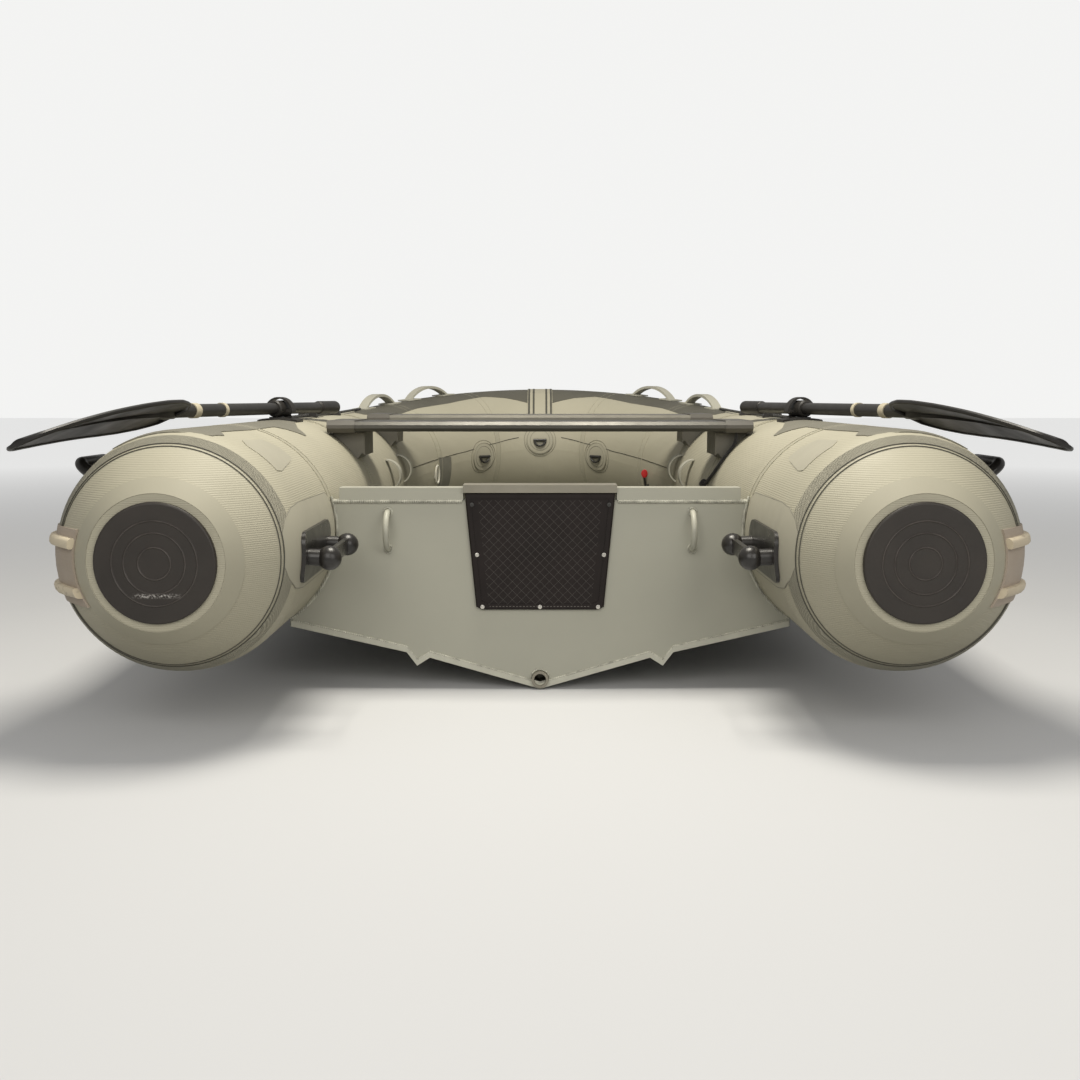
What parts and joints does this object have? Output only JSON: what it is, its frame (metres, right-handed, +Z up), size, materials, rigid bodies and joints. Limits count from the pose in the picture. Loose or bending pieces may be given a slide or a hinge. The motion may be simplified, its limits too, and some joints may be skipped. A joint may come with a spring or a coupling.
{
  "type": "rigid inflatable tender",
  "caption": "Small boat with an aluminium V hull, an inflated collar, a motor transom, bench seats and a pair of oars on swinging rowlocks.",
  "frame": {"origin": "on the centreline, on the transom's aft face, at the height of the waterline when the boat floats empty", "axes": "+X to starboard, +Y forward to the bow, +Z up"},
  "size_m": [1.8508, 2.935, 0.6399],
  "materials": {
    "bare_aluminium": "brushed",
    "beige_tape": "matte",
    "black_metal": "satin",
    "black_paint": "satin",
    "black_plastic": "moulded, satin",
    "black_rope": "braided",
    "black_rubber": "moulded, satin",
    "cream_rubber": "moulded, matte",
    "grey_patch": "coated fabric, matte",
    "grey_rubber": "moulded, matte",
    "hull_paint": "satin paint on aluminium",
    "pale_grey_strap": "moulded strap, satin",
    "seat_aluminium": "anodised grey",
    "tube_fabric": "coated fabric, satin"
  },
  "bodies": {
    "boat": {"bow_patch": "grey_patch", "carry_handle_port": "black_rubber", "carry_handle_starboard": "black_rubber", "d_rings": "black_metal", "deck": "hull_paint", "drain_tube": "bare_aluminium", "end_cap_port": "black_rubber", "end_cap_starboard": "black_rubber", "far_seat": "seat_aluminium", "far_seat_caps": "black_plastic", "grab_handle_aft_port": "pale_grey_strap", "grab_handle_aft_starboard": "pale_grey_strap", "grab_handle_forward_port": "pale_grey_strap", "grab_handle_forward_starboard": "pale_grey_strap", "hull_bottom": "hull_paint", "inner_motor_pad": "black_plastic", "lifeline_port": "black_rope", "lifeline_starboard": "black_rope", "line_fittings_port": "black_rubber", "line_fittings_starboard": "black_rubber", "motor_pad": "black_plastic", "near_seat": "seat_aluminium", "near_seat_caps": "black_plastic", "pad_cap": "bare_aluminium", "ring_patches": "grey_patch", "rowlock_base_port": "black_rubber", "rowlock_base_starboard": "black_rubber", "rub_strake": "grey_rubber", "seat_brackets_port": "black_rubber", "seat_brackets_starboard": "black_rubber", "seat_rope": "black_rope", "seat_rope_knot": "black_rope", "stern_handle_port": "black_rubber", "stern_handle_starboard": "black_rubber", "strake_ribs": "cream_rubber", "strap_loops_port": "pale_grey_strap", "strap_loops_starboard": "pale_grey_strap", "top_rail_port": "hull_paint", "top_rail_starboard": "hull_paint", "tow_eyes": "hull_paint", "transom": "hull_paint", "tube_bow": "tube_fabric", "tube_port": "tube_fabric", "tube_starboard": "tube_fabric"},
    "oar_port": {"rowlock_collar_port": "black_plastic", "oar_shaft_port": "black_paint", "oar_grip_port": "black_rubber", "oar_bands_port": "beige_tape", "oar_blade_port": "black_plastic"},
    "oar_starboard": {"rowlock_collar_starboard": "black_plastic", "oar_shaft_starboard": "black_paint", "oar_grip_starboard": "black_rubber", "oar_bands_starboard": "beige_tape", "oar_blade_starboard": "black_plastic"}
  },
  "joints": [
    {"name": "oar_port_swing", "type": "hinge", "parent": "boat", "child": "oar_port", "pos_m": [-0.635, 0.51, 0.443], "axis": [0, 0, -1], "range_deg": [0, 120]},
    {"name": "oar_starboard_swing", "type": "hinge", "parent": "boat", "child": "oar_starboard", "pos_m": [0.635, 0.51, 0.443], "axis": [0, 0, 1], "range_deg": [0, 120]}
  ]
}
